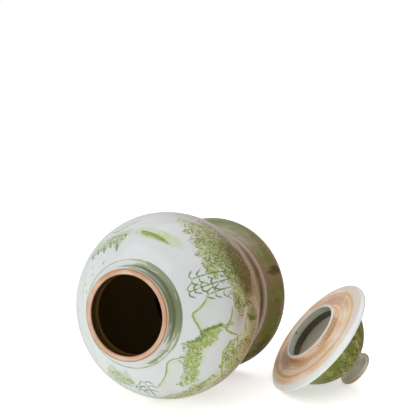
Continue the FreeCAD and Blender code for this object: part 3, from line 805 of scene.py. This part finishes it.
# shaded rocks at the widest line and the low shore round the rest of the jar
blot("wash", (0, 3), (8, 10), 1.0, 0.3, 0.15, 0.0, 50)
blot("deep", (2, 3), (5, 8), 0.55, 0.35, 0.2, 0.0, 51)
for centre, size, amount, seed in (((-26, 10), (13, 20), 0.75, 60), ((-10, -8), (12, 10), 0.6, 61),
                                   ((-40, 4), (10, 14), 0.55, 62)):
    blot("leaf", centre, size, amount, 0.4, 0.45, 0.0, seed)
ROCK_EDGES = (([(-2, -8), (-1, 3), (2, 11)], 2.4), ([(6, -2), (9, 8), (7, 18)], 1.0),
              ([(-12, 6), (-15, 14), (-22, 20)], 0.8), ([(-18, -8), (-14, 2), (-16, 12)], 0.8),
              ([(-30, 0), (-27, 9), (-32, 18)], 0.8), ([(-8, 12), (-4, 14), (2, 10)], 0.8),
              ([(-24, 18), (-20, 24), (-14, 26)], 0.8))
for points, width in ROCK_EDGES:
    stroke("ink", points, width, 0.3)
blot("wash", (-20, 2), (16, 18), 0.8, 0.4, 0.35, 0.0, 52)
blot("wash", (-60, 24), (26, 9), 0.9, 0.4, 0.3, 0.0, 53)
blot("wash", (175, 8), (40, 14), 0.6, 0.5, 0.4, 0.0, 54)
blot("wash", (-120, 6), (34, 12), 0.6, 0.5, 0.4, 0.0, 55)
FAR = np.maximum(np.exp(-(away(DEG, 128) / 26.0) ** 4), np.exp(-(away(DEG, -98) / 22.0) ** 4))
LAYERS["sage"][:] = FAR * ease(UP, 30, 50)
# groves and low hills on the back and the lower half
GROVES = ((100, -22, 26, 15, 0.8, 70), (132, -34, 20, 14, 0.7, 71), (176, -22, 24, 16, 0.85, 72),
          (-158, -36, 18, 12, 0.7, 73), (-128, -24, 22, 14, 0.8, 74), (-96, -12, 20, 14, 0.7, 75),
          (-70, -34, 18, 12, 0.65, 76), (62, -34, 14, 9, 0.5, 77))
for deg, up, w, h, amount, seed in GROVES:
    blot("wash", (deg, up), (w, h), amount, 0.4, 0.4, 0.0, seed)
    blot("leaf", (deg + 4, up + 4), (w * 0.75, h * 0.7), amount, 0.3, 0.45, 0.0, seed + 20)
for deg, up in ((112, 4), (168, 6), (-140, 2), (-108, 10)):
    hill_line = [(deg - 16, up - 8), (deg - 8, up + 4), (deg, up + 9), (deg + 9, up), (deg + 15, up - 10)]
    ridge(hill_line, 8, 0.7, 0.9)
    tufted_tree((deg + 18, up - 14), (deg + 19, up + 14), [(1.0, 6, 5), (0.75, 6.5, 6), (0.5, 5, 5)])
# the fine ring round the neck's foot
NECK_S = SHOULDER_ARC * math.acos((NECK_FOOT_R - SHOULDER_C) / SHOULDER_ARC)
RING_UP, RING_HALF = NECK_S - 2.3, 0.66
RING = RING_HALF - np.abs(UP - RING_UP) + 0.5 * (cloud(40, 4, 60) - 0.5)
LAYERS["line"] = np.maximum(LAYERS["line"], RING)


def sampled(layer, theta, up):
    """A layer's value at each vertex."""
    rows = np.clip((up - SHEET_LOW) * ROWS_PER_MM, 0, len(SHEET_S) - 1.001)
    cols = (np.degrees(theta) + 180) % 360 * COLS / 360
    i, j = rows.astype(int), cols.astype(int)
    a, b = rows - i, cols - j
    j, k = j % COLS, (j + 1) % COLS
    g = LAYERS[layer]
    return (g[i, j] * (1 - a) * (1 - b) + g[i + 1, j] * a * (1 - b)
            + g[i, k] * (1 - a) * b + g[i + 1, k] * a * b)


for piece, data in ((neck, neck_data), (shoulder, shoulder_data), (belly, belly_data)):
    z, r = data["z"], data["r"]
    up = np.where(z >= GLOBE_Z, SHOULDER_ARC * np.arctan2(z - GLOBE_Z, np.maximum(r - SHOULDER_C, 1)),
                  GLOBE_R * np.arctan2(z - GLOBE_Z, r))
    for layer in LAYERS:
        attribute(piece, layer, sampled(layer, data["theta"], up))


def patches(data, spots, level="z"):
    """Soft patches straight on a piece: (degrees, height or radius, half degrees, half length, amount)."""
    angle, along = np.degrees(data["theta"]), data[level]
    total = np.zeros(len(angle))
    for deg, at, half_deg, half_len, amount in spots:
        spot = np.exp(-(away(angle, deg) / half_deg) ** 2 - ((along - at) / half_len) ** 2)
        total = np.maximum(total, amount * spot)
    return total


def band_at(values, middle, half):
    """1 at the middle, fading away over half on both sides."""
    return np.exp(-((values - middle) / half) ** 2)


# neck: broad green strokes on the uppermost and right-hand side, thickest in the cove
neck_r, neck_z, neck_deg = neck_data["r"], neck_data["z"], np.degrees(neck_data["theta"])
on_neck = (neck_r > RIM_R - 0.3) & (neck_z < 205.4)
cove = band_at(neck_z, 196.0, 2.6)
right = np.exp(-(away(neck_deg, 32) / 72) ** 4)
rightmost = np.exp(-(away(neck_deg, 5) / 30) ** 4)
under = np.exp(-(away(neck_deg, -45) / 30) ** 4)
attribute(neck, "band", np.where(on_neck, np.maximum.reduce([
    cove * (0.25 + 0.75 * right),
    right * 0.75 * (1 - ease(neck_z, 201, 205.4)) + 0.06 * rightmost,
    0.7 * under * band_at(neck_z, 194.5, 1.2)]), 0))
attribute(neck, "iron", np.maximum(ease(neck_r, 45.3, 46.5), 0.55 * (1 - ease(neck_r, 41.3, 41.9))))
# painted shade: dark on the neck's bore towards the mouth
attribute(neck, "mouth", ease(neck_z, 186, 205) * (neck_r < 42.0))
# foot: iron-red edges
foot_r = foot_data["r"]
attribute(foot, "iron", np.maximum(ease(foot_r, 86.6, 88.0), 1 - ease(foot_r, 74.4, 75.6)))
attribute(foot, "ring", np.ones(len(foot_r)))
# waist steps and flare
lower_z = lower_data["z"]
attribute(lower, "olive", patches(lower_data, [
    (80, 14, 34, 16, 0.9), (38, 20, 15, 12, 0.75), (5, 16, 12, 20, 0.8), (-28, 14, 24, 20, 1.0),
    (-75, 16, 26, 18, 0.8), (140, 14, 30, 16, 0.7), (-140, 16, 30, 14, 0.8)]))
# dark: brushed dark washes, and painted shade in the waist's cove and in the groove between the beads
attribute(lower, "dark", patches(lower_data, [
    (24, 15, 6, 16, 0.85), (-4, 16, 16, 22, 0.55), (-40, 12, 20, 18, 0.95), (-62, 20, 22, 16, 1.0),
    (60, 24, 10, 6, 0.55), (110, 10, 16, 8, 0.5), (180, 12, 24, 10, 0.6)])
    + 0.95 * band_at(lower_z, 42.5, 2.2) + 0.6 * band_at(lower_z, 34.2, 1.1))
attribute(lower, "cool", patches(lower_data, [
    (92, 22, 32, 14, 1.0), (70, 30, 20, 8, 0.8), (160, 22, 40, 14, 0.7), (-120, 24, 30, 12, 0.5)]))
# ring: pale painted highlights along the bead tops, and the pale bare edge near the foot
attribute(lower, "ring", band_at(lower_z, 37.6, 0.8) + band_at(lower_z, 31.4, 0.9)
          + 0.8 * (1 - ease(lower_z, 5.0, 7.5)) * (lower_data["r"] > 80))
# brim: iron rings beside the collar and near the lip, pink flush, pale ash, the glazed lip and painted shade
# on the bore
brim_r, brim_deg = brim_data["r"], np.degrees(brim_data["theta"])
outer_ring = band_at(brim_r, 58.0 + 1.5 * np.sin(brim_data["theta"] * 2), 2.6)
tan_patch = np.exp(-((brim_r - 47) / 9) ** 2 - (away(brim_deg, 35) / 40) ** 2)
attribute(brim, "iron", np.maximum(band_at(brim_r, 37.6, 1.5), 0.75 * outer_ring + 0.8 * tan_patch))
attribute(brim, "flush", patches(brim_data, [
    (150, 48, 60, 8, 0.9), (25, 46, 42, 9, 1.0), (-60, 42, 50, 4, 0.8)], "r"))
top_side = band_at(away(brim_deg, 170), 0, 60)
attribute(brim, "glazed", ease(brim_r - 3.0 * top_side, 65.8, 68.6))
# painted shade on the bore's wall
attribute(brim, "hollow_shade", (brim_r < 34.5) * ease(brim_data["z"], 7.0, 9.0))
ash_side = 0.25 + 0.75 * band_at(away(brim_deg, 190), 0, 70)
attribute(brim, "ash", np.exp(-((brim_r - 65) / 5.5) ** 4) * ash_side)
# collar: iron-red patches, a glazed edge, a small blue fleck inside and painted shade low inside
collar_r, collar_z, collar_turn = collar_data["r"], collar_data["z"], collar_data["theta"]
fleck = np.hypot(away(np.degrees(collar_turn), 68) * math.radians(1) * COLLAR_INNER_R, collar_z - 2.3)
attribute(collar, "fleck", (1 - ease(fleck, 0.7, 1.5)) * (collar_r < 34))
attribute(collar, "iron", 0.5 + 0.5 * np.cos(collar_turn * 3))
attribute(collar, "glazed", (collar_z < 0.9) * 1.0)
attribute(collar, "hollow_shade", 0.5 * ease(collar_z, 5.0, 7.0) * (collar_r < 34))
# dome and knob
dome_z = dome_data["z"]
attribute(dome, "brown", patches(dome_data, [
    (180, 34, 46, 14, 1.0), (-150, 24, 30, 12, 0.7), (130, 50, 40, 10, 0.6)]))
attribute(dome, "bright", patches(dome_data, [(-45, 24, 40, 12, 1.0), (10, 30, 40, 14, 0.8)]))
# painted shade inside the dome next to the brim
attribute(dome, "hollow_shade", (dome_data["r"] < 49) * 0.2 * (1 - ease(dome_z, 17, 20)))
knob_iron = 0.75 + 0.25 * np.cos(knob_data["theta"] * 2 + 1)
attribute(knob, "iron", ease(knob_data["r"], 19.0, 20.7) * knob_iron)

JAR_PIECES = ((neck, "neck_ring", "painted_glaze"), (shoulder, "shoulder_section", "painted_glaze"),
              (belly, "belly_section", "painted_glaze"), (lower, "lower_section", "waist_glaze"),
              (base, "base_disc", "inner_glaze"), (foot, "foot_ring", "bare_biscuit"))
LID_PIECES = ((collar, "lid_collar", "collar_glaze"), (brim, "lid_brim", "brim_biscuit"),
              (dome, "lid_dome", "green_glaze"), (knob, "lid_knob", "knob_glaze"))
for body, pieces in (("jar", JAR_PIECES), ("lid", LID_PIECES)):
    for piece, node, finish in pieces:
        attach(piece, body)
        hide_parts(node)

# ---------------------------------------------------------------- floor, light and camera
FLOOR_HALF = 12
floor_mesh = bpy.data.meshes.new("floor")
floor_mesh.from_pydata([(-FLOOR_HALF, -FLOOR_HALF, 0), (FLOOR_HALF, -FLOOR_HALF, 0),
                        (FLOOR_HALF, FLOOR_HALF, 0), (-FLOOR_HALF, FLOOR_HALF, 0)], [], [(0, 1, 2, 3)])
floor = bpy.data.objects.new("floor", floor_mesh)
floor.visible_glossy = False
bpy.context.scene.collection.objects.link(floor)
floor_mesh.materials.append(lit_floor("pale_floor", "f4f4f2", 0.85, 0.5))


def studio_world(name, dim_side, bright, dim):
    """White to the camera; to everything else bright, and dim and warm on one side of the room."""
    world = bpy.data.worlds.new(name)
    bpy.context.scene.world = world
    world.use_nodes = True
    nodes, link = world.node_tree.nodes, world.node_tree.links.new
    nodes.clear()
    side = nodes.new("ShaderNodeVectorMath")
    side.operation = "DOT_PRODUCT"
    link(nodes.new("ShaderNodeTexCoord").outputs["Generated"], side.inputs[0])
    side.inputs[1].default_value = Vector(dim_side).normalized()
    fade = nodes.new("ShaderNodeMapRange")
    fade.interpolation_type = "SMOOTHSTEP"
    fade.inputs["From Min"].default_value, fade.inputs["From Max"].default_value = -0.25, 0.95
    link(side.outputs["Value"], fade.inputs["Value"])
    room, seen = (nodes.new("ShaderNodeMix") for _ in range(2))
    room.data_type = seen.data_type = "RGBA"
    room.inputs[6].default_value = (*bright, 1)
    room.inputs[7].default_value = (*dim, 1)
    link(fade.outputs["Result"], room.inputs["Factor"])
    seen.inputs[7].default_value = (1, 1, 1, 1)
    link(nodes.new("ShaderNodeLightPath").outputs["Is Camera Ray"], seen.inputs["Factor"])
    link(room.outputs[2], seen.inputs[6])
    background = nodes.new("ShaderNodeBackground")
    link(seen.outputs[2], background.inputs["Color"])
    link(background.outputs[0], nodes.new("ShaderNodeOutputWorld").inputs["Surface"])


def softbox(name, place, aim, size, power):
    lamp = bpy.data.lights.new(name, "AREA")
    lamp.shape = "RECTANGLE"
    lamp.size, lamp.size_y = size
    lamp.energy = power
    obj = bpy.data.objects.new(name, lamp)
    bpy.context.scene.collection.objects.link(obj)
    obj.location = place
    obj.rotation_euler = (Vector(aim) - Vector(place)).to_track_quat("-Z", "Y").to_euler()


studio_world("studio", (0.66, 0.66, -0.36), bright=(0.74, 0.755, 0.775), dim=(0.22, 0.17, 0.12))
softbox("key", (-0.8, -1.45, 1.2), (0, 0, 0.08), (2.2, 2.2), 14)
softbox("top", (0.3, 0.4, 2.0), (0, 0, 0), (2.4, 1.8), 9)

CAMERA_PLACE, CAMERA_DIRECTION = (0.4582, -0.9530, 0.3706), (-0.4400, 0.8843, -0.1563)
camera_data = bpy.data.cameras.new("camera")
camera = bpy.data.objects.new("camera", camera_data)
bpy.context.scene.collection.objects.link(camera)
camera.location = CAMERA_PLACE
camera.rotation_euler = Vector(CAMERA_DIRECTION).to_track_quat("-Z", "Y").to_euler()
camera_data.lens = 86.54
camera_data.sensor_width = 36.0
camera_data.clip_end = 60
bpy.context.scene.camera = camera
bpy.context.scene.view_settings.view_transform = "Standard"
